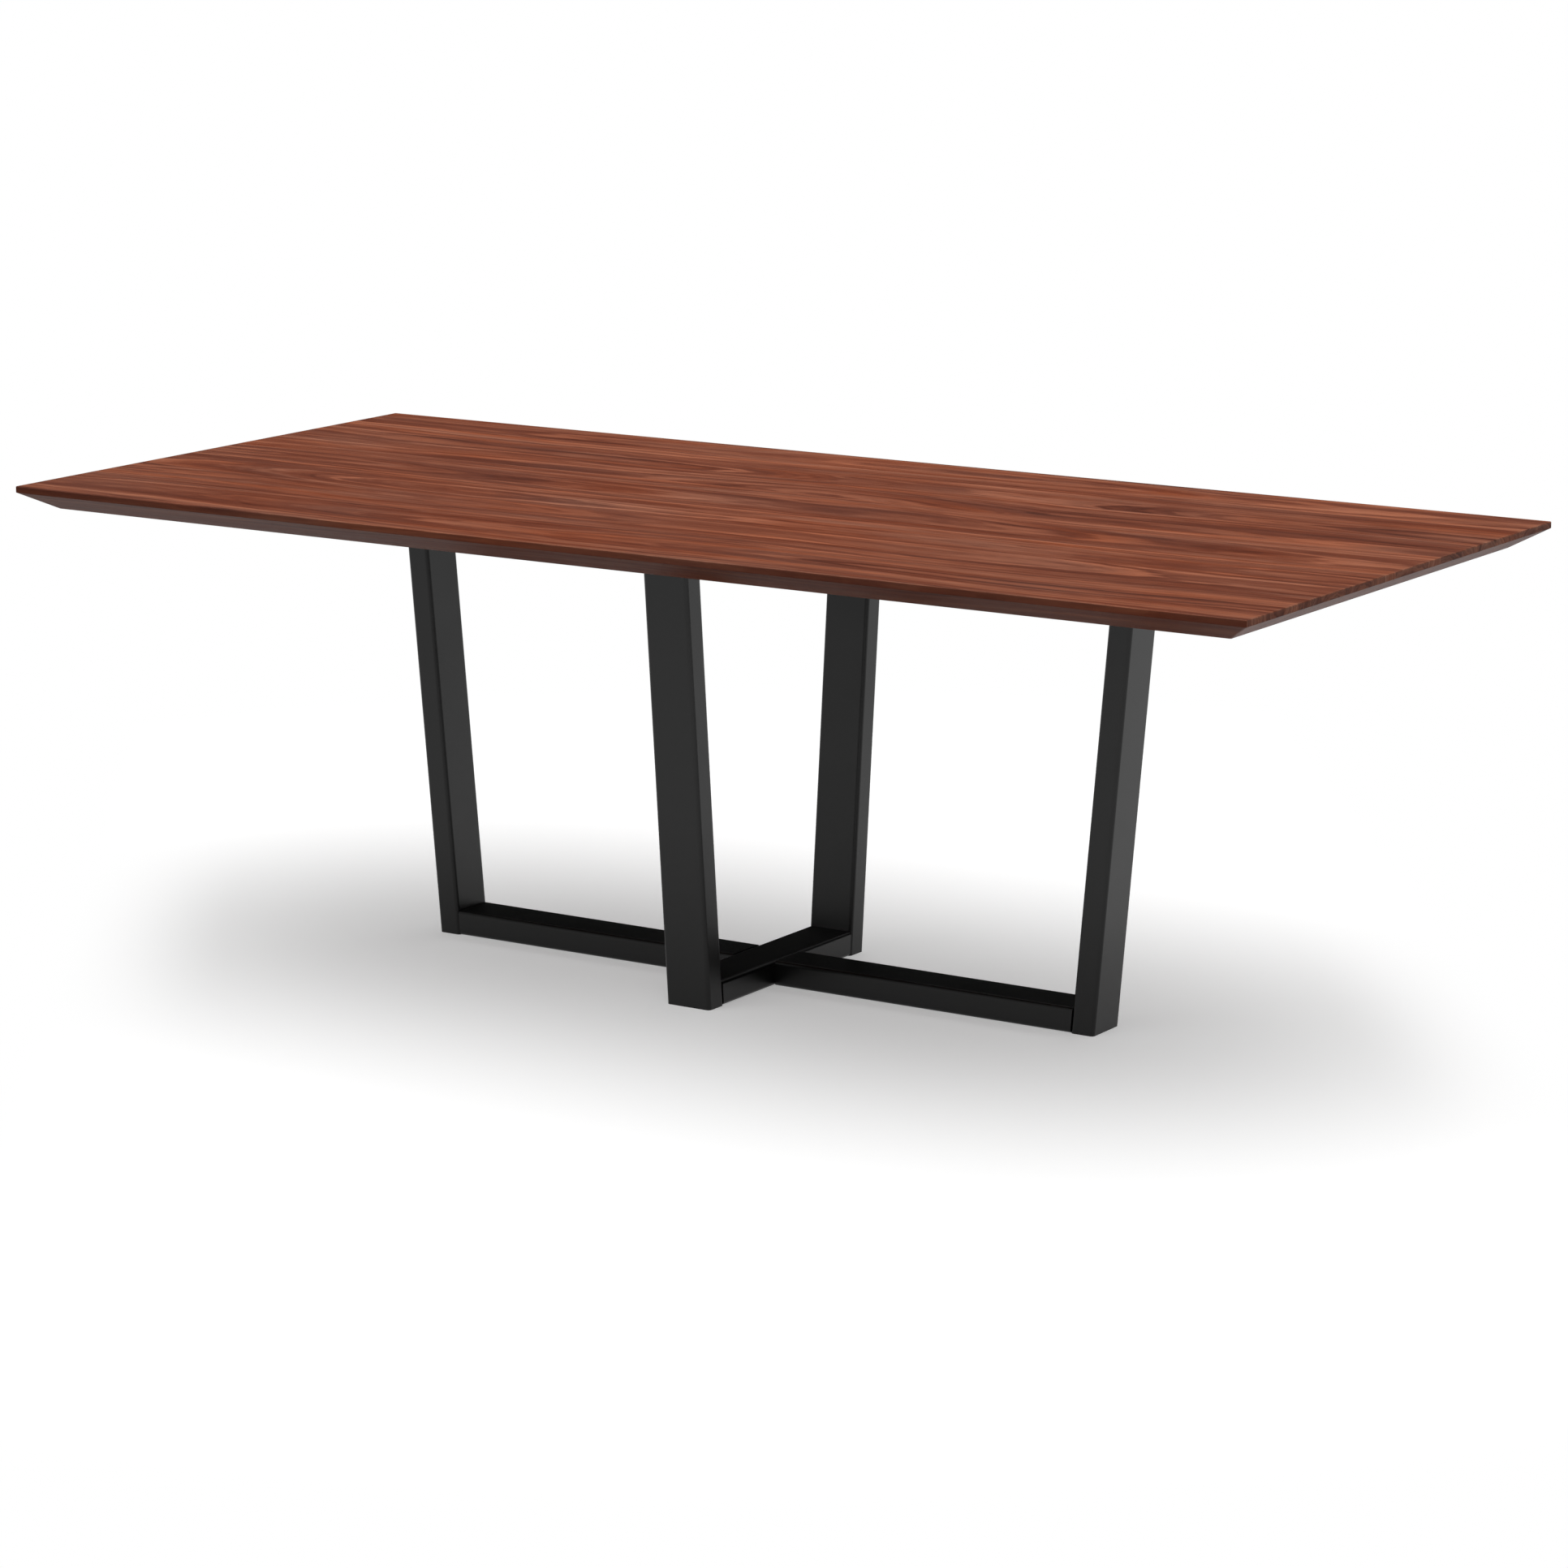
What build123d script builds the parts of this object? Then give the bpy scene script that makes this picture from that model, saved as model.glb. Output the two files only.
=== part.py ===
from build123d import *
import os
from math import cos, radians, sin, tan

# Dining table: a bevelled top of edge-glued staves on a crossed base of leaning steel tubes.
# Millimetres and degrees. +X runs along the top, +Y to the back, +Z up.
# The origin is on the floor, under the middle of the top.

# Table top
top_length = 2200
table_height = 760
top_thickness = 38
band_height = 10
bevel_inset = 48.5
top_corner_radius = 3
upper_arris_radius = 1.5
lower_arris_radius = 1

# Widths of the staves, front to back, as their end grain shows on the right-hand edge
stave_widths = [60, 50, 45, 70, 75, 55, 35, 70, 100, 50, 70, 55, 65, 85, 55, 60]

# Steel tube of the base
tube_width = 80
tube_depth = 40
tube_wall = 3
tube_corner_radius = 6
least_inner_radius = 0.5

# Plan of the base, over the outer faces of the legs at the floor
long_foot_span = 1230
short_foot_span = 450
leg_lean = 5

# Plastic caps that plug the lower ends of the legs
cap_height = 20
cap_floor = 3
cap_wall = 2.5
cap_clearance = 0.2

# Plates on the leg tops, with bolts and washers
plate_thickness = 6
plate_corner_radius = 6
washer_to_leg = 18
bolt_edge_distance = 20
bolt_side_distance = 18
bolt_diameter = 8
bolt_head_width = 13
bolt_head_height = 5.3
bolt_face_diameter = 12
bolt_face_angle = 30
bolt_tip_chamfer = 0.8
bolt_tip_clearance = 4
washer_diameter = 24
washer_thickness = 2
washer_clearance = 0.2
slot_clearance = 0.5
slot_travel = 7

# Threaded inserts in the underside of the top
insert_diameter = 14
insert_length = 22
insert_clearance = 0.1
insert_hole_spare = 2
thread_clearance = 0.1

# Steel channels let into the underside, across the grain
channel_width = 50
channel_height = 12
channel_wall = 3
channel_end_margin = 51.5
channel_clearance = 0.3

# Countersunk screws, one from the channel into each stave that it crosses
screw_diameter = 5
screw_head_diameter = 10
screw_socket_width = 3
screw_socket_depth = 2.3
screw_length = 25
screw_point_length = 4
screw_point_diameter = 1
screw_clearance = 0.1
screw_hole_spare = 1
screw_end_distance = 15

# Sizes that follow from those above
top_width = sum(stave_widths)
lean_slope = tan(radians(leg_lean))
leg_depth_level = tube_depth / cos(radians(leg_lean))
underside = table_height - top_thickness
plate_low = underside - plate_thickness
washer_low = plate_low - washer_thickness
bolt_along = leg_depth_level / 2 + washer_to_leg + washer_diameter / 2
bolt_across = tube_width / 2 - bolt_side_distance
plate_length = 2 * (bolt_along + bolt_edge_distance)
slot_width = bolt_diameter + 2 * slot_clearance
channel_length = top_width - 2 * (bevel_inset + channel_end_margin)
reach = top_length + top_width + table_height

# Each leg: its name, its turn about Z from the right-hand leg, and the foot span of its frame
legs = [
    ("right", 0, long_foot_span),
    ("back", 90, short_foot_span),
    ("left", 180, long_foot_span),
    ("front", 270, short_foot_span),
]


def upright(solid, x, y, low):
    """A solid that is drawn from Z 0 upwards, moved to stand at x, y and the height low."""
    return Pos(x, y, low) * solid


def rod(diameter, height):
    """A round bar standing on Z 0."""
    return extrude(Circle(diameter / 2), height)


def level_slice(low, high):
    """Everything between two heights."""
    return upright(extrude(Rectangle(reach, reach), high - low), 0, 0, low)


def tube_section(inset):
    """The tube's rounded rectangle, drawn inset from its outer faces."""
    radius = max(tube_corner_radius - inset, least_inner_radius)
    return RectangleRounded(tube_width - 2 * inset, tube_depth - 2 * inset, radius)


def leg_centre(foot_span, height):
    """Distance from the table's middle to a leg's centre line at a height."""
    return foot_span / 2 - leg_depth_level / 2 + height * lean_slope


def leg_inner_face(foot_span, height):
    """Distance from the table's middle to a leg's inner face at a height."""
    return leg_centre(foot_span, height) - leg_depth_level / 2


def leg_bar(foot_span, inset, low, high):
    """A bar along the right-hand leg's axis, cut level at two heights."""
    lean = radians(leg_lean)
    axis = Plane(origin=(leg_centre(foot_span, 0), 0, 0), x_dir=(0, 1, 0), z_dir=(sin(lean), 0, cos(lean)))
    return extrude(axis * tube_section(inset), reach, both=True) & level_slice(low, high)


def leg_tube(foot_span):
    """A leg from the floor to its plate."""
    return leg_bar(foot_span, 0, 0, plate_low) - leg_bar(foot_span, tube_wall, -reach, reach)


def foot_cap(foot_span):
    """A hollow plug inside a leg's lower end, closed below and level with the tube's end."""
    inset = tube_wall + cap_clearance
    plug = leg_bar(foot_span, inset, 0, cap_height)
    return plug - leg_bar(foot_span, inset + cap_wall, cap_floor, cap_height)


def rail_tube(near_low, near_high, foot_span):
    """A rail on the floor, along X to the right-hand leg, with its far end cut to the leg's slope."""
    middle = Plane.YZ * Pos(0, tube_depth / 2)
    outer = extrude(middle * tube_section(0), reach, both=True)
    inner = extrude(middle * tube_section(tube_wall), reach, both=True)
    side_view = Polygon(
        (near_low, 0),
        (leg_inner_face(foot_span, 0), 0),
        (leg_inner_face(foot_span, tube_depth), tube_depth),
        (near_high, tube_depth),
        align=None,
    )
    return (outer - inner) & extrude(Plane.XZ * side_view, tube_width, both=True)


def through_rail(foot_span):
    """A rail that runs whole from leg to leg."""
    return rail_tube(-leg_inner_face(foot_span, 0), -leg_inner_face(foot_span, tube_depth), foot_span)


def half_rail(foot_span):
    """A rail from the side of the through rail to the leg."""
    return rail_tube(tube_width / 2, tube_width / 2, foot_span)


def bolt_places(foot_span):
    """The four bolts of the right-hand leg's plate."""
    centre = leg_centre(foot_span, plate_low)
    return [(centre + i * bolt_along, j * bolt_across) for i in (-1, 1) for j in (-1, 1)]


def mounting_plate(foot_span, turn):
    """A plate on a leg's top. Its slots run along Y, so that the wood can swell across the grain."""
    plate = extrude(RectangleRounded(plate_length, tube_width, plate_corner_radius), plate_thickness)
    plate = upright(plate, leg_centre(foot_span, plate_low), 0, plate_low)
    slot = extrude(Rot(0, 0, 90 - turn) * SlotOverall(slot_width + slot_travel, slot_width), plate_thickness)
    for x, y in bolt_places(foot_span):
        plate -= upright(slot, x, y, plate_low)
    return plate


def bolt():
    """A hexagon bolt, head down, with its head's lower face on Z 0."""
    length = washer_thickness + plate_thickness + insert_length - bolt_tip_clearance
    head = extrude(RegularPolygon(bolt_head_width / 2, 6, major_radius=False), bolt_head_height)
    face_radius = bolt_face_diameter / 2
    cone_radius = face_radius + bolt_head_height / tan(radians(bolt_face_angle))
    head &= Cone(face_radius, cone_radius, bolt_head_height, align=(Align.CENTER, Align.CENTER, Align.MIN))
    shank = upright(rod(bolt_diameter, length), 0, 0, bolt_head_height)
    tip = shank.edges().group_by(Axis.Z)[-1]
    return head + chamfer(tip, bolt_tip_chamfer)


def washer():
    hole = rod(bolt_diameter + 2 * washer_clearance, washer_thickness)
    return rod(washer_diameter, washer_thickness) - hole


def insert():
    """A threaded insert, shown by its sleeve and bore."""
    return rod(insert_diameter, insert_length) - rod(bolt_diameter + 2 * thread_clearance, insert_length)


def insert_hole():
    return rod(insert_diameter + 2 * insert_clearance, insert_length + insert_hole_spare)


def screw(clearance, spare):
    """A countersunk screw, point up, or its hole where a clearance is given."""
    head = screw_head_diameter / 2 + clearance
    shank = screw_diameter / 2 + clearance
    point = screw_point_diameter / 2 + clearance
    outline = Polygon(
        (0, 0),
        (head, 0),
        (shank, head - shank),
        (shank, screw_length - screw_point_length + spare),
        (point, screw_length + spare),
        (0, screw_length + spare),
        align=None,
    )
    return revolve(Plane.XZ * outline, Axis.Z)


def driven_screw():
    """The screw itself, with a hexagon socket in its head."""
    socket = extrude(RegularPolygon(screw_socket_width / 2, 6, major_radius=False), screw_socket_depth)
    return screw(0, 0) - socket


def stave_middles():
    """Y of each stave's middle, front to back."""
    front = -top_width / 2
    return [front + sum(stave_widths[:i]) + width / 2 for i, width in enumerate(stave_widths)]


def channel_place():
    """Middle of the overhang, between the leg's plate and the bevel at the top's end."""
    plate_end = leg_centre(long_foot_span, plate_low) + plate_length / 2
    return (plate_end + top_length / 2 - bevel_inset) / 2


def channel_screw_rows():
    """Y of each stave's middle that lies over the channel."""
    return [y for y in stave_middles() if abs(y) < channel_length / 2 - screw_end_distance]


def channel_section(clearance):
    """The channel's U, web on Z 0 and flanges up, or its groove where a clearance is given."""
    web = extrude(Rectangle(channel_width + 2 * clearance, channel_length + 2 * clearance), channel_wall)
    flange = extrude(
        Rectangle(channel_wall + 2 * clearance, channel_length + 2 * clearance), channel_height + clearance
    )
    flange_middle = (channel_width - channel_wall) / 2
    return web + upright(flange, flange_middle, 0, 0) + upright(flange, -flange_middle, 0, 0)


def stiffener():
    """A channel with a countersunk hole for each screw."""
    channel = channel_section(0)
    for y in channel_screw_rows():
        channel -= upright(screw(screw_clearance, 0), 0, y, 0)
    return channel


def top_slab():
    """The whole top: an upright band over a bevel that runs in to the underside."""
    band_low = table_height - band_height
    low = RectangleRounded(top_length - 2 * bevel_inset, top_width - 2 * bevel_inset, top_corner_radius)
    full = RectangleRounded(top_length, top_width, top_corner_radius)
    slab = loft([Pos(0, 0, underside) * low, Pos(0, 0, band_low) * full], ruled=True)
    slab += upright(extrude(full, band_height), 0, 0, band_low)
    slab = fillet(slab.edges().group_by(Axis.Z)[-1], upper_arris_radius)
    middle_edges = slab.edges().filter_by_position(Axis.Z, band_low, band_low)
    return fillet(middle_edges, lower_arris_radius)


parts = {}

# Base
for name, turn, foot_span in legs:
    parts["leg_" + name] = Rot(0, 0, turn) * leg_tube(foot_span)
    parts["foot_cap_" + name] = Rot(0, 0, turn) * foot_cap(foot_span)
    parts["mounting_plate_" + name] = Rot(0, 0, turn) * mounting_plate(foot_span, turn)
parts["cross_rail"] = Rot(0, 0, 90) * through_rail(short_foot_span)
parts["long_rail_right"] = half_rail(long_foot_span)
parts["long_rail_left"] = Rot(0, 0, 180) * half_rail(long_foot_span)

# Fasteners between the base and the top
bolts = []
washers = []
inserts = []
cutters = []
for name, turn, foot_span in legs:
    for x, y in bolt_places(foot_span):
        bolts.append(Rot(0, 0, turn) * upright(bolt(), x, y, washer_low - bolt_head_height))
        washers.append(Rot(0, 0, turn) * upright(washer(), x, y, washer_low))
        inserts.append(Rot(0, 0, turn) * upright(insert(), x, y, underside))
        cutters.append(Rot(0, 0, turn) * upright(insert_hole(), x, y, underside))
parts["top_bolts"] = Compound(children=bolts)
parts["top_washers"] = Compound(children=washers)
parts["threaded_inserts"] = Compound(children=inserts)

# Channels under the overhanging ends, with their screws
screws = []
for name, side in (("left", -1), ("right", 1)):
    x = side * channel_place()
    parts["stiffener_" + name] = upright(stiffener(), x, 0, underside)
    cutters.append(upright(channel_section(channel_clearance), x, 0, underside))
    for y in channel_screw_rows():
        screws.append(upright(driven_screw(), x, y, underside))
        cutters.append(upright(screw(screw_clearance, screw_hole_spare), x, y, underside))
parts["stiffener_screws"] = Compound(children=screws)

# Staves, sawn from the finished outline of the top, front to back
slab = top_slab() - cutters
for number, (width, y) in enumerate(zip(stave_widths, stave_middles()), 1):
    lane = extrude(Rectangle(reach, width), reach)
    parts[f"stave_{number:02d}"] = slab & upright(lane, 0, y, 0)

os.makedirs("parts", exist_ok=True)
for name, solid in parts.items():
    export_step(solid, f"parts/{name}.step")
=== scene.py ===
from collections import namedtuple
from math import radians

import bpy
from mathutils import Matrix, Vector


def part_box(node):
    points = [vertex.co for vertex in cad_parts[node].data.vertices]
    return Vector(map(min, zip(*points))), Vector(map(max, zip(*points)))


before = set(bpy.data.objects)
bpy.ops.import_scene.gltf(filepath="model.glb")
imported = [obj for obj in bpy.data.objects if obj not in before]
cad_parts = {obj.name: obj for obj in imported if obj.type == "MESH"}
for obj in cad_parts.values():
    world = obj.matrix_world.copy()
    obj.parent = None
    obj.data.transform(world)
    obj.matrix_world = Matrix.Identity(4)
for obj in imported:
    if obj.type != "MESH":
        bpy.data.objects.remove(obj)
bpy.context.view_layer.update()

# Dining table: walnut staves on a crossed base of black steel tube.
# Metres. +X runs along the top, +Y to the back, +Z up, and the floor is at Z 0.
staves = sorted(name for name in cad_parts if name.startswith("stave_"))
top_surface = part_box(staves[0])[1].z
half_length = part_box(staves[0])[1].x
half_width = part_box(staves[-1])[1].y

# Camera at the photograph's viewing angle, for a square picture
camera_place = (4.1876, -6.4618, 1.9775)
camera_tilt = radians(77.805)
camera_turn = radians(32.745)
camera_sensor = 36.0
camera_lens = 114.86

# Values that most of a noise lies between
usual_noise = (0.3, 0.7)


def colour(red, green, blue):
    """A display colour of 0 to 255 as the linear values that a shader takes."""
    linear = []
    for value in (red, green, blue):
        share = value / 255
        linear.append(share / 12.92 if share <= 0.04045 else ((share + 0.055) / 1.055) ** 2.4)
    return (*linear, 1.0)


def grey(share):
    """A linear grey, where 0 is black and 1 is white."""
    return (share, share, share, 1.0)


class Graph:
    """A node tree built by short calls. Each call adds nodes, feeds them and returns what the next needs."""

    def __init__(self, owner):
        owner.use_nodes = True
        self.tree = owner.node_tree
        self.tree.nodes.clear()

    def feed(self, socket, value):
        if isinstance(value, bpy.types.NodeSocket):
            self.tree.links.new(value, socket)
        else:
            socket.default_value = value

    def add(self, kind, feeds=None, **settings):
        node = self.tree.nodes.new("ShaderNode" + kind)
        for name, value in settings.items():
            setattr(node, name, value)
        for name, value in (feeds or {}).items():
            self.feed(node.inputs[name], value)
        return node

    def math(self, operation, *values):
        node = self.add("Math", operation=operation)
        for socket, value in zip(node.inputs, values):
            self.feed(socket, value)
        return node.outputs[0]

    def total(self, first, *others):
        for other in others:
            first = self.math("ADD", first, other)
        return first

    def vector(self, operation, *values):
        node = self.add("VectorMath", operation=operation)
        for socket, value in zip(node.inputs, values):
            self.feed(socket, value)
        return node.outputs["Value" if operation in ("LENGTH", "DOT_PRODUCT") else "Vector"]

    def split(self, vector):
        return self.add("SeparateXYZ", {"Vector": vector}).outputs

    def join(self, x, y, z):
        return self.add("CombineXYZ", {"X": x, "Y": y, "Z": z}).outputs[0]

    def place(self):
        """The point's place in the table's own frame, in metres."""
        return self.add("TexCoord").outputs["Object"]

    def stretched(self, vector, scale, shift):
        """A place with each axis scaled and shifted, so that a pattern runs along the grain."""
        return self.vector("MULTIPLY_ADD", vector, scale, (shift, shift, shift))

    def noise(self, vector, detail, roughness=0.5):
        feeds = {"Vector": vector, "Scale": 1.0, "Detail": detail, "Roughness": roughness}
        return self.add("TexNoise", feeds).outputs[0]

    def even_noise(self, place, scale, shift=0.0, detail=2.0):
        """Noise that is as coarse along each axis."""
        return self.noise(self.stretched(place, (scale, scale, scale), shift), detail)

    def line_noise(self, value, detail, roughness):
        """Noise along one value, such as the distance from the heart of a tree."""
        feeds = {"W": value, "Scale": 1.0, "Detail": detail, "Roughness": roughness}
        return self.add("TexNoise", feeds, noise_dimensions="1D").outputs[0]

    def swing(self, value, reach):
        """A value of 0 to 1 turned into one of minus to plus half of reach."""
        return self.math("MULTIPLY", self.math("SUBTRACT", value, 0.5), reach)

    def spread(self, value, low, high):
        """A value of 0 to 1 turned into one from low to high."""
        return self.math("MULTIPLY_ADD", value, high - low, low)

    def between(self, value, low, high, low_out=0.0, high_out=1.0):
        """A smooth step from low_out to high_out as value goes from low to high."""
        feeds = {"Value": value, "From Min": low, "From Max": high, "To Min": low_out, "To Max": high_out}
        return self.add("MapRange", feeds, interpolation_type="SMOOTHSTEP").outputs["Result"]

    def ramp(self, value, stops):
        node = self.add("ValToRGB", {"Fac": value})
        elements = node.color_ramp.elements
        while len(elements) < len(stops):
            elements.new(1.0)
        for element, (position, shade) in zip(elements, stops):
            element.position = position
            element.color = shade
        return node.outputs["Color"]

    def mottled(self, noise, dark, pale):
        """Two close shades that a noise runs between."""
        low, high = usual_noise
        return self.ramp(noise, [(low, dark), (high, pale)])

    def tint(self, shade, amount):
        """A colour made lighter or darker by a varying amount."""
        return self.vector("SCALE", shade, (0, 0, 0), (0, 0, 0), amount)

    def bump(self, height, distance, strength):
        feeds = {"Height": height, "Distance": distance, "Strength": strength}
        return self.add("Bump", feeds).outputs["Normal"]

    def watched(self):
        """1 for what the camera, reflections and glass show, and 0 for what lights the table."""
        path = self.add("LightPath").outputs
        shown = self.math("MAXIMUM", path["Is Camera Ray"], path["Is Glossy Ray"])
        return self.math("MAXIMUM", shown, path["Is Transmission Ray"])

    def summed(self, first, second):
        node = self.add("AddShader")
        self.feed(node.inputs[0], first.outputs[0])
        self.feed(node.inputs[1], second.outputs[0])
        return node

    def mixed(self, share, first, second):
        """The first shader where share is 0, and the second where it is 1."""
        node = self.add("MixShader", {"Fac": share})
        self.feed(node.inputs[1], first.outputs[0])
        self.feed(node.inputs[2], second.outputs[0])
        return node

    def surface(self, shader):
        output = self.add("OutputMaterial")
        self.tree.links.new(shader.outputs[0], output.inputs["Surface"])


# Walnut. Each stave is cut from a round log, whose heart runs past the stave's top face at some distance.
# The rings about the heart show as arches and ovals on the face, as lines on the edges and as arcs on the
# end grain. aside: how far the heart runs behind the stave's middle; depth: how far under the top face;
# taper: how the depth grows along X; swell and reach: how much, and over what length, the heart rises about
# the place middle along X; end: how light or dark the end grain is; shade: how light or dark the stave is.
# Staves with the same seed and the same heart are cut from one board.
Figure = namedtuple("Figure", "aside depth taper middle swell reach seed end shade")
figures = [
    Figure(0.060, 0.050, -0.042, -0.288, 0.000, 1.00, 11.0, 0.05, 0.02),
    Figure(0.005, 0.050, -0.042, -0.288, 0.000, 1.00, 11.0, -0.12, -0.05),
    Figure(-0.042, 0.050, -0.042, -0.288, 0.000, 1.00, 11.0, 0.08, 0.00),
    Figure(0.110, 0.040, 0.010, 0.000, 0.000, 1.00, 31.0, -0.10, 0.00),
    Figure(0.000, 0.055, 0.035, 0.530, 0.000, 1.00, 37.0, -0.06, 0.04),
    Figure(0.022, 0.094, -0.040, -0.535, 0.076, 0.42, 41.0, -0.08, 0.01),
    Figure(-0.022, 0.094, -0.040, -0.535, 0.076, 0.42, 41.0, -0.12, 0.05),
    Figure(0.095, 0.035, -0.012, 0.000, 0.000, 1.00, 59.0, 0.14, 0.00),
    Figure(-0.010, 0.065, 0.045, 0.000, 0.000, 1.00, 67.0, 0.00, 0.00),
    Figure(0.085, 0.030, 0.010, 0.000, 0.000, 1.00, 71.0, 0.06, 0.11),
    Figure(-0.030, 0.080, 0.000, 0.040, 0.050, 0.40, 73.0, -0.12, -0.05),
    Figure(-0.092, 0.080, 0.000, 0.040, 0.050, 0.40, 73.0, 0.08, 0.00),
    Figure(-0.005, 0.012, 0.000, 0.200, -0.065, 0.50, 83.0, 0.00, -0.04),
    Figure(-0.110, 0.050, 0.010, 0.000, 0.000, 1.00, 97.0, 0.06, 0.07),
    Figure(0.018, 0.072, 0.004, 0.115, 0.056, 0.45, 101.0, -0.12, 0.03),
    Figure(-0.040, 0.072, 0.004, 0.115, 0.056, 0.45, 101.0, 0.02, 0.04),
]
wood_shades = [
    (0.00, colour(84, 45, 34)),
    (0.20, colour(102, 55, 41)),
    (0.40, colour(117, 65, 48)),
    (0.50, colour(127, 73, 54)),
    (0.60, colour(137, 81, 60)),
    (0.80, colour(154, 93, 69)),
    (1.00, colour(168, 105, 79)),
]
middle_shade = 0.50

# Patterns in the wood. along and across: how close they are along the grain and across it, per metre;
# shift: sets one apart from the next; detail and roughness: how finely it breaks up; weight: its strength.
Layer = namedtuple("Layer", "along across shift detail roughness weight")
# Bends of the heart and of the rings, whose weight is in metres
sway = Layer(2.1, 1.0, 0.0, 1.0, 0.5, 0.040)
waves = Layer(2.6, 14.0, 1.0, 2.0, 0.5, 0.014)
wisps = Layer(8.0, 70.0, 2.0, 3.0, 0.5, 0.013)
# Bends of the streaks, and one that all staves share, with its weight on the heart and on the streaks
lean = Layer(1.6, 3.0, 14.0, 1.0, 0.5, 0.05)
shared_bend = (1.3, 3.0, 3.0)
heart_bend = 0.080
streak_bend = 0.10
# Light and dark that follow the rings
zones = Layer(0.6, 40.0, 9.0, 1.0, 0.5, 0.30)
bands = Layer(1.5, 75.0, 3.0, 1.0, 0.5, 0.65)
threads = Layer(5.0, 420.0, 5.0, 2.0, 0.5, 0.30)
wide_rings = Layer(0.0, 100.0, 4.0, 2.5, 0.5, 0.80)
fine_rings = Layer(0.0, 230.0, 8.0, 1.0, 0.5, 0.30)
dark_lines = Layer(3.0, 84.0, 6.0, 2.0, 0.5, -0.24)
pale_lines = Layer(2.0, 84.0, 7.0, 2.0, 0.5, 0.32)
dark_edge = (0.58, 0.68)
pale_edge = (0.56, 0.70)
# Light and dark that run along the board
streaks = Layer(0.45, 33.0, 12.0, 0.4, 0.5, 0.82)
flecks = Layer(14.0, 130.0, 15.0, 2.0, 0.6, 0.42)
fibres = Layer(3.5, 420.0, 0.0, 3.0, 0.6, 0.30)
# Changes of hue, and the open pores
hues = Layer(2.4, 36.0, 10.0, 3.0, 0.5, 1.15)
pores = Layer(45.0, 1500.0, 0.0, 1.0, 0.5, -0.27)
pore_edge = (0.64, 0.74)

# From which lean of its normal a face counts as end grain or side, and as underside
facing_edge = (0.75, 0.95)
under_edge = (-0.7, -0.4)
# Widths of the arrises that carry a painted highlight, in metres: in from the ends, in from the sides and
# down from the top face
arris_from_end = 0.006
arris_from_side = 0.012
arris_down = 0.004
# How the sides, the underside, the end grain and the arrises differ from the top face: painted shade on
# sides and underside, painted light on end grain, a painted highlight on arrises
figure_left_out = -0.45
painted_side_shade = -0.12
painted_under_shade = -0.09
painted_end_light = 0.07
end_rings = 0.6
painted_arris_sheen = 0.03
arris_roughness = -0.06
painted_sheen_grey = 0.15
green_of_hue = 0.75
blue_of_hue = 1.35
# Lacquer: its roughness from least to most and its shine. Its relief: the shares of pores and fibres in it,
# its height in metres and its strength.
lacquer_roughness = (0.35, 0.49)
lacquer_shine = 0.036
pore_share = -0.6
fibre_share = 0.4
relief_height = 0.0002
relief_strength = 0.5

Faces = namedtuple("Faces", "end side under worn")


def near_arris(graph, place):
    """1 along the arrises round the top face, where a pale painted highlight goes, and 0 elsewhere."""
    x, y, z = graph.split(place)
    ends = graph.between(graph.math("ABSOLUTE", x), half_length - arris_from_end, half_length)
    sides = graph.between(graph.math("ABSOLUTE", y), half_width - arris_from_side, half_width)
    height = graph.between(z, top_surface - arris_down, top_surface)
    return graph.math("MULTIPLY", graph.math("MAXIMUM", ends, sides), height)


def faces_of_stave(graph, place):
    """1 on each kind of face and 0 elsewhere."""
    facing_x, facing_y, facing_z = graph.split(graph.add("NewGeometry").outputs["True Normal"])
    end = graph.between(graph.math("ABSOLUTE", facing_x), *facing_edge)
    side = graph.between(graph.math("ABSOLUTE", facing_y), *facing_edge)
    under = graph.between(facing_z, *under_edge, 1.0, 0.0)
    return Faces(end, side, under, near_arris(graph, place))


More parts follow.
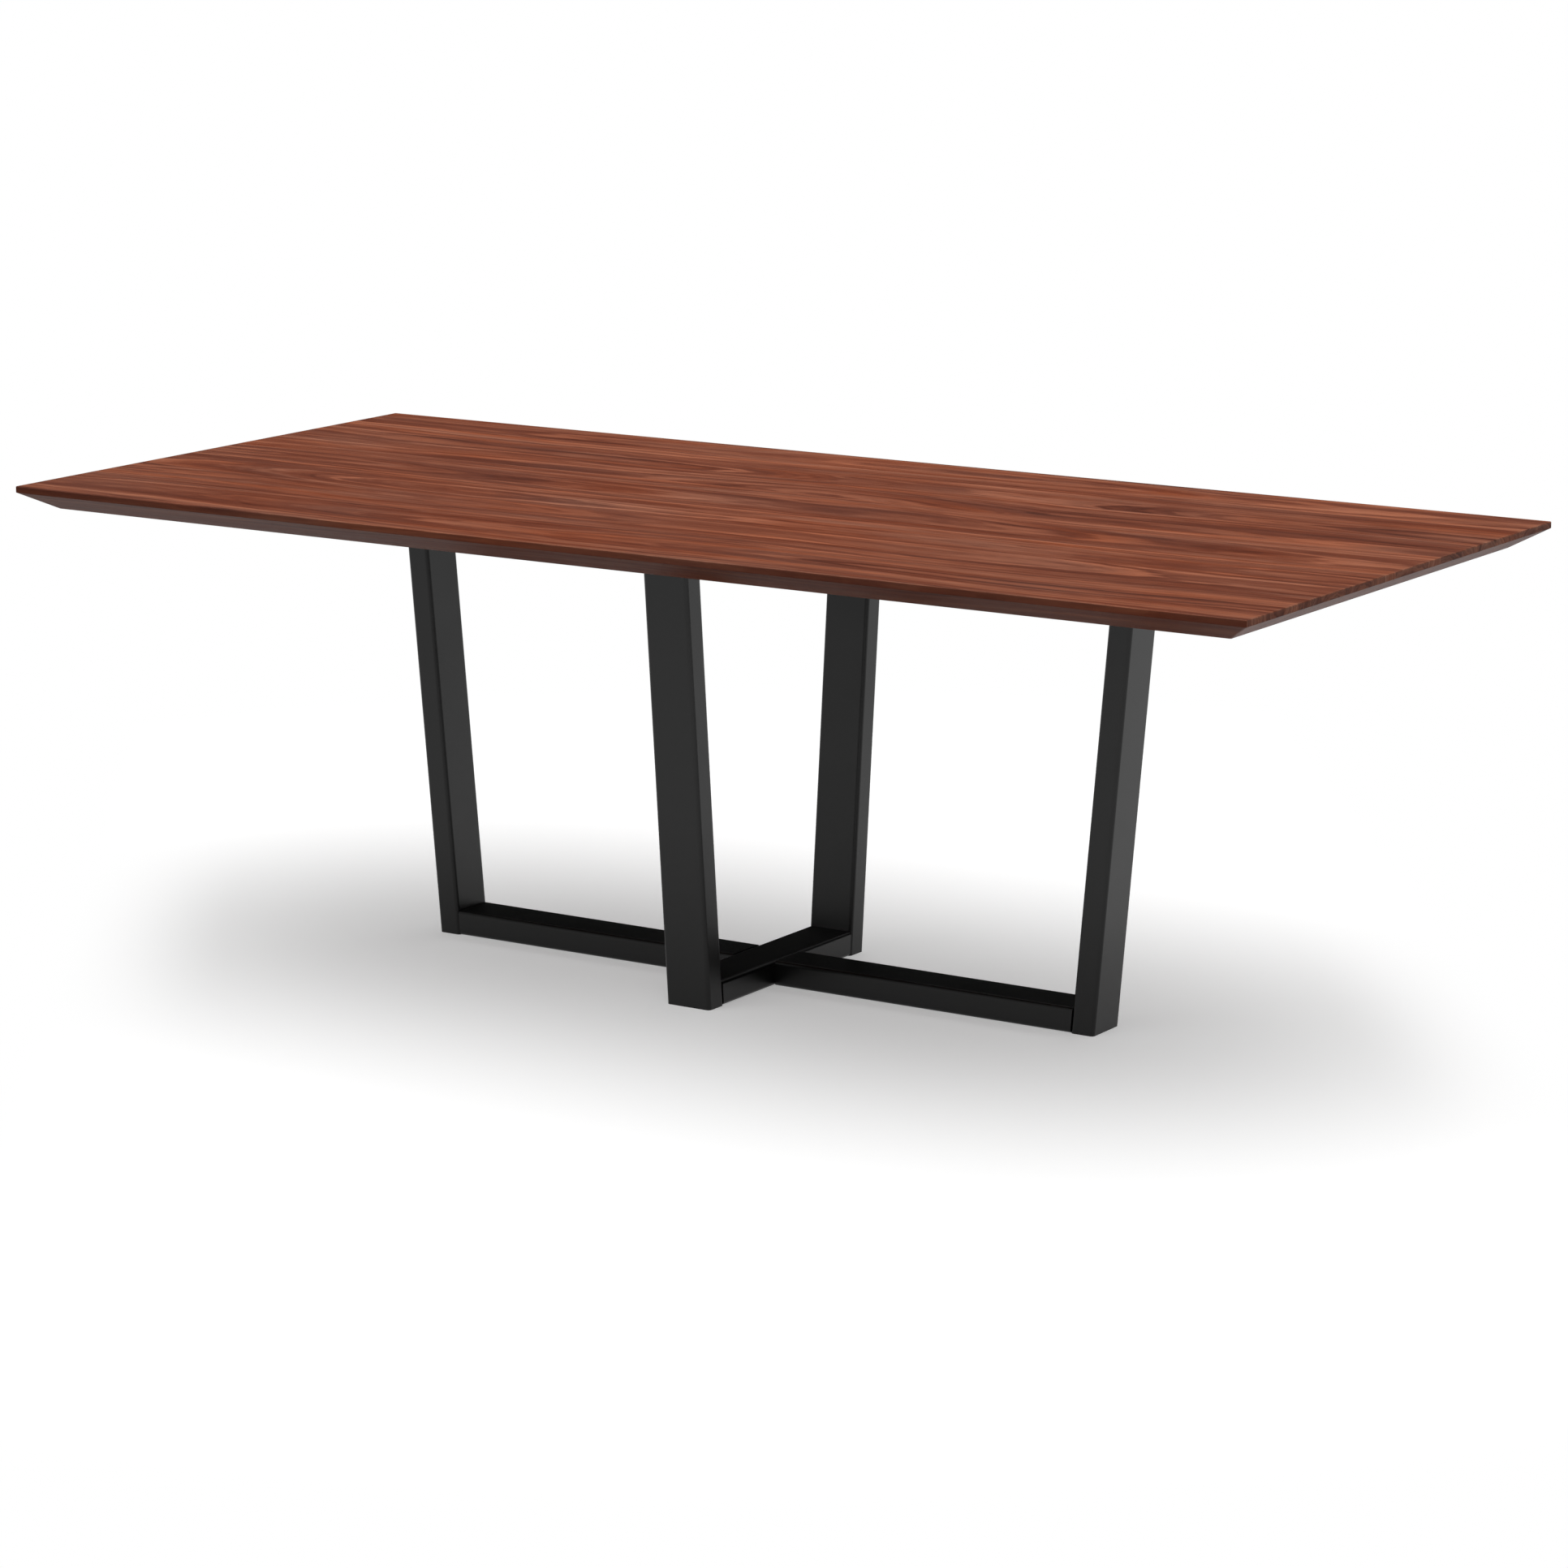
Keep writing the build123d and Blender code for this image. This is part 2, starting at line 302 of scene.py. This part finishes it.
class Timber:
    """The wood of one stave, with the patterns that run in it."""

    def __init__(self, graph, middle_y, figure):
        self.graph = graph
        self.figure = figure
        self.place = graph.place()
        self.flow = graph.noise(graph.stretched(self.place, shared_bend, 0.0), 1.0)
        self.distance = self.heart_distance(middle_y)
        self.rings = graph.join(graph.split(self.place)[0], self.distance, 0.0)
        bend = graph.total(self.swing_in(lean, self.place), graph.swing(self.flow, streak_bend))
        self.grain = graph.vector("ADD", self.place, graph.join(0.0, bend, 0.0))

    def noise_in(self, layer, space):
        """Noise that is long along the grain and the same across it and down into it."""
        scale = (layer.along, layer.across, layer.across)
        place = self.graph.stretched(space, scale, self.figure.seed + layer.shift)
        return self.graph.noise(place, layer.detail, layer.roughness)

    def swing_in(self, layer, space):
        return self.graph.swing(self.noise_in(layer, space), layer.weight)

    def ring_noise(self, layer):
        """Noise that follows the rings and fades in and out along the grain."""
        scale = (layer.along, layer.across, 0.0)
        place = self.graph.stretched(self.rings, scale, self.figure.seed + layer.shift)
        return self.graph.noise(place, layer.detail, layer.roughness)

    def ring_lines(self, layer):
        """Noise across the rings alone, so that its lines run on along the grain."""
        shift = self.figure.seed + layer.shift
        across = self.graph.math("MULTIPLY_ADD", self.distance, layer.across, shift)
        return self.graph.line_noise(across, layer.detail, layer.roughness)

    def heart_distance(self, middle_y):
        """Distance from the heart of the log, which tapers, swells and sways along X."""
        graph, figure = self.graph, self.figure
        x, y, z = graph.split(self.place)
        along = graph.math("SUBTRACT", x, figure.middle)
        share = graph.math("DIVIDE", along, figure.reach)
        rise = graph.math("DIVIDE", -figure.swell, graph.math("MULTIPLY_ADD", share, share, 1.0))
        depth = graph.math("MULTIPLY_ADD", along, figure.taper, figure.depth - top_surface)
        up = graph.total(z, depth, rise, self.swing_in(sway, self.place))
        back = graph.math("SUBTRACT", y, middle_y + figure.aside)
        back = graph.total(back, graph.swing(self.flow, heart_bend))
        distance = graph.vector("LENGTH", graph.join(0.0, back, up))
        return graph.total(distance, self.swing_in(waves, self.place), self.swing_in(wisps, self.place))


def wood_tone(timber, faces):
    """How light or dark the wood is, about 0. Off the top face, the figure is fainter. Painted shade darkens
    the sides and the underside, painted light lifts the end grain, and a painted highlight lifts the
    arrises.
    """
    graph = timber.graph
    fine = timber.ring_lines(fine_rings)
    parts = [graph.swing(timber.ring_noise(layer), layer.weight) for layer in (zones, bands, threads)]
    parts += [timber.swing_in(layer, timber.grain) for layer in (streaks, flecks)]
    parts += [timber.swing_in(fibres, timber.place), graph.swing(fine, fine_rings.weight)]
    parts += [graph.swing(timber.ring_lines(wide_rings), wide_rings.weight)]
    tone = graph.total(*parts, timber.figure.shade)
    for layer, edge in ((dark_lines, dark_edge), (pale_lines, pale_edge)):
        line = graph.between(timber.ring_noise(layer), *edge)
        tone = graph.math("MULTIPLY_ADD", line, layer.weight, tone)
    plain = graph.math("MAXIMUM", graph.math("MAXIMUM", faces.side, faces.under), faces.end)
    tone = graph.math("MULTIPLY", tone, graph.math("MULTIPLY_ADD", plain, figure_left_out, 1.0))
    # End grain: its rings and its tone, lifted by painted light
    end_tone = graph.total(graph.swing(fine, end_rings), timber.figure.end + painted_end_light)
    tone = graph.math("MULTIPLY_ADD", faces.end, end_tone, tone)
    # Painted shade on the underside and the sides, and a painted highlight along the arrises
    for face, shade in ((faces.under, painted_under_shade), (faces.side, painted_side_shade), (faces.worn, painted_arris_sheen)):
        tone = graph.math("MULTIPLY_ADD", face, shade, tone)
    return tone


def hue_tint(timber, faces):
    """Redder and greyer streaks, and a painted grey sheen on the end grain and the arrises, as a colour to
    multiply with.
    """
    graph = timber.graph
    hue = graph.swing(timber.ring_noise(hues), hues.weight)
    # Painted grey sheen on the end grain and along the arrises
    hue = graph.math("MULTIPLY_ADD", graph.total(faces.end, faces.worn), painted_sheen_grey, hue)
    green = graph.math("MULTIPLY_ADD", hue, green_of_hue, 1.0)
    blue = graph.math("MULTIPLY_ADD", hue, blue_of_hue, 1.0)
    return graph.join(1.0, green, blue)


def walnut(name, middle_y, figure):
    material = bpy.data.materials.new(name)
    graph = Graph(material)
    timber = Timber(graph, middle_y, figure)
    faces = faces_of_stave(graph, timber.place)
    shade = graph.ramp(graph.total(wood_tone(timber, faces), middle_shade), wood_shades)
    shade = graph.vector("MULTIPLY", shade, hue_tint(timber, faces))
    # Open pores: short dark dashes on the faces, dots on the end grain
    pore = graph.between(timber.noise_in(pores, timber.place), *pore_edge)
    shade = graph.tint(shade, graph.math("MULTIPLY_ADD", pore, pores.weight, 1.0))
    fibre = timber.noise_in(fibres, timber.place)
    relief = graph.math("MULTIPLY_ADD", pore, pore_share, graph.math("MULTIPLY", fibre, fibre_share))
    roughness = graph.spread(fibre, *lacquer_roughness)
    feeds = {
        "Base Color": shade,
        "Roughness": graph.math("MULTIPLY_ADD", faces.worn, arris_roughness, roughness),
        "Specular IOR Level": lacquer_shine,
        "Normal": graph.bump(relief, relief_height, relief_strength),
    }
    graph.surface(graph.add("BsdfPrincipled", feeds))
    return material


def powder_coat():
    """Black powder coat on steel: a fine orange-peel skin with a satin shine."""
    material = bpy.data.materials.new("black_powder_coat")
    graph = Graph(material)
    place = graph.place()
    peel = graph.even_noise(place, scale=650.0)
    cloud = graph.even_noise(place, scale=9.0, shift=3.0, detail=3.0)
    feeds = {
        "Base Color": graph.mottled(cloud, dark=colour(10, 10, 10), pale=colour(14, 14, 14)),
        "Roughness": graph.spread(cloud, low=0.26, high=0.36),
        "Specular IOR Level": 0.35,
        "Normal": graph.bump(peel, distance=0.0001, strength=0.2),
    }
    graph.surface(graph.add("BsdfPrincipled", feeds))
    return material


def zinc():
    """Zinc plate on fasteners: a grey metal with a faint mottle."""
    material = bpy.data.materials.new("zinc_plate")
    graph = Graph(material)
    mottle = graph.even_noise(graph.place(), scale=420.0, detail=3.0)
    feeds = {
        "Base Color": graph.mottled(mottle, dark=colour(158, 160, 160), pale=colour(196, 197, 194)),
        "Metallic": 1.0,
        "Roughness": graph.spread(mottle, low=0.26, high=0.46),
    }
    graph.surface(graph.add("BsdfPrincipled", feeds))
    return material


def moulded_plastic():
    """Black plastic of the foot caps, with a fine moulded grain."""
    material = bpy.data.materials.new("moulded_plastic")
    graph = Graph(material)
    grain = graph.even_noise(graph.place(), scale=1400.0, detail=1.0)
    feeds = {
        "Base Color": graph.mottled(grain, dark=colour(19, 19, 19), pale=colour(27, 27, 27)),
        "Roughness": graph.spread(grain, low=0.48, high=0.63),
        "Normal": graph.bump(grain, distance=0.0001, strength=0.4),
    }
    graph.surface(graph.add("BsdfPrincipled", feeds))
    return material


def dress(name, material):
    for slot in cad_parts[name].material_slots:
        slot.material = material


for name, figure in zip(staves, figures):
    low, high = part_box(name)
    dress(name, walnut("walnut_" + name, (low.y + high.y) / 2, figure))
slot_finish = {"black_steel": powder_coat(), "zinc_steel": zinc(), "black_plastic": moulded_plastic()}
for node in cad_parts.values():
    slot = node.active_material.name.split(".")[0] if node.active_material else ""
    if slot in slot_finish:
        dress(node.name, slot_finish[slot])

# Floor: white from where the table's shadow ends, for the camera and for reflections. The shadow is shown
# over a round patch that is cut straight on two sides, before the left end and behind the right end.
floor_reach = 60.0
floor_shades = (grey(0.74), grey(0.78))
floor_speckle = 160.0
floor_light = 0.32
floor_bounce = grey(0.18)
shadow_reach = (1.80, 2.40)
shadow_slant = Vector((1.37, 1.00, 0.0))
slant_reach = (1.45, 1.95)


def floor_finish():
    material = bpy.data.materials.new("pale_floor")
    graph = Graph(material)
    place = graph.place()
    slanted = graph.math("ABSOLUTE", graph.vector("DOT_PRODUCT", place, shadow_slant))
    around = graph.between(graph.vector("LENGTH", place), *shadow_reach)
    far = graph.math("MAXIMUM", around, graph.between(slanted, *slant_reach))
    speckle = graph.mottled(graph.even_noise(place, floor_speckle), *floor_shades)
    lift = graph.add("Emission", {"Color": grey(1.0), "Strength": floor_light})
    near = graph.summed(graph.add("BsdfDiffuse", {"Color": speckle}), lift)
    shown = graph.mixed(far, near, graph.add("Emission", {"Color": grey(1.0), "Strength": 1.0}))
    whole = graph.mixed(graph.watched(), graph.add("BsdfDiffuse", {"Color": floor_bounce}), shown)
    # Seen from below, the floor is clear
    below = graph.add("NewGeometry").outputs["Backfacing"]
    graph.surface(graph.mixed(below, whole, graph.add("BsdfTransparent")))
    return material


floor_mesh = bpy.data.meshes.new("floor")
sides = ((-1, -1), (1, -1), (1, 1), (-1, 1))
corners = [(x * floor_reach, y * floor_reach, 0.0) for x, y in sides]
floor_mesh.from_pydata(corners, [], [(0, 1, 2, 3)])
floor = bpy.data.objects.new("floor", floor_mesh)
floor_mesh.materials.append(floor_finish())
bpy.context.scene.collection.objects.link(floor)

# Studio: a dim room with a broad soft light overhead and a weaker one in front, to the left. Each light
# fades in as a direction comes near its middle. Below the horizon, and just above it, the room is white.
overhead_light = Vector((0.05, 0.03, 1.00)).normalized()
overhead_edge = (0.55, 0.85)
overhead_strength = 2.10
front_light = Vector((-0.52, -0.82, 0.22)).normalized()
front_edge = (0.80, 0.95)
front_strength = 0.50
room_strength = 0.004
horizon_edge = (0.015, 0.028)


def light_studio():
    studio = bpy.data.worlds.new("studio")
    bpy.context.scene.world = studio
    graph = Graph(studio)
    direction = graph.add("TexCoord").outputs["Generated"]
    overhead = graph.vector("DOT_PRODUCT", direction, overhead_light)
    overhead = graph.between(overhead, *overhead_edge, room_strength, overhead_strength)
    front = graph.vector("DOT_PRODUCT", direction, front_light)
    front = graph.between(front, *front_edge, 0.0, front_strength)
    horizon = graph.between(graph.split(direction)[2], *horizon_edge, 1.0, 0.0)
    light = graph.total(overhead, front, horizon)
    # From under the floor, the room is as white as the floor is from above
    through_floor = graph.math("GREATER_THAN", graph.add("LightPath").outputs["Transparent Depth"], 0.5)
    light = graph.math("MAXIMUM", light, graph.math("MULTIPLY", graph.watched(), through_floor))
    background = graph.add("Background", {"Color": grey(1.0), "Strength": light})
    output = graph.add("OutputWorld")
    graph.feed(output.inputs["Surface"], background.outputs[0])


def place_camera():
    camera = bpy.data.cameras.new("camera")
    camera.sensor_width = camera_sensor
    camera.lens = camera_lens
    camera.clip_end = 4 * floor_reach
    holder = bpy.data.objects.new("camera", camera)
    holder.location = camera_place
    holder.rotation_euler = (camera_tilt, 0.0, camera_turn)
    bpy.context.scene.collection.objects.link(holder)
    bpy.context.scene.camera = holder


light_studio()
place_camera()
bpy.context.scene.view_settings.view_transform = "Standard"
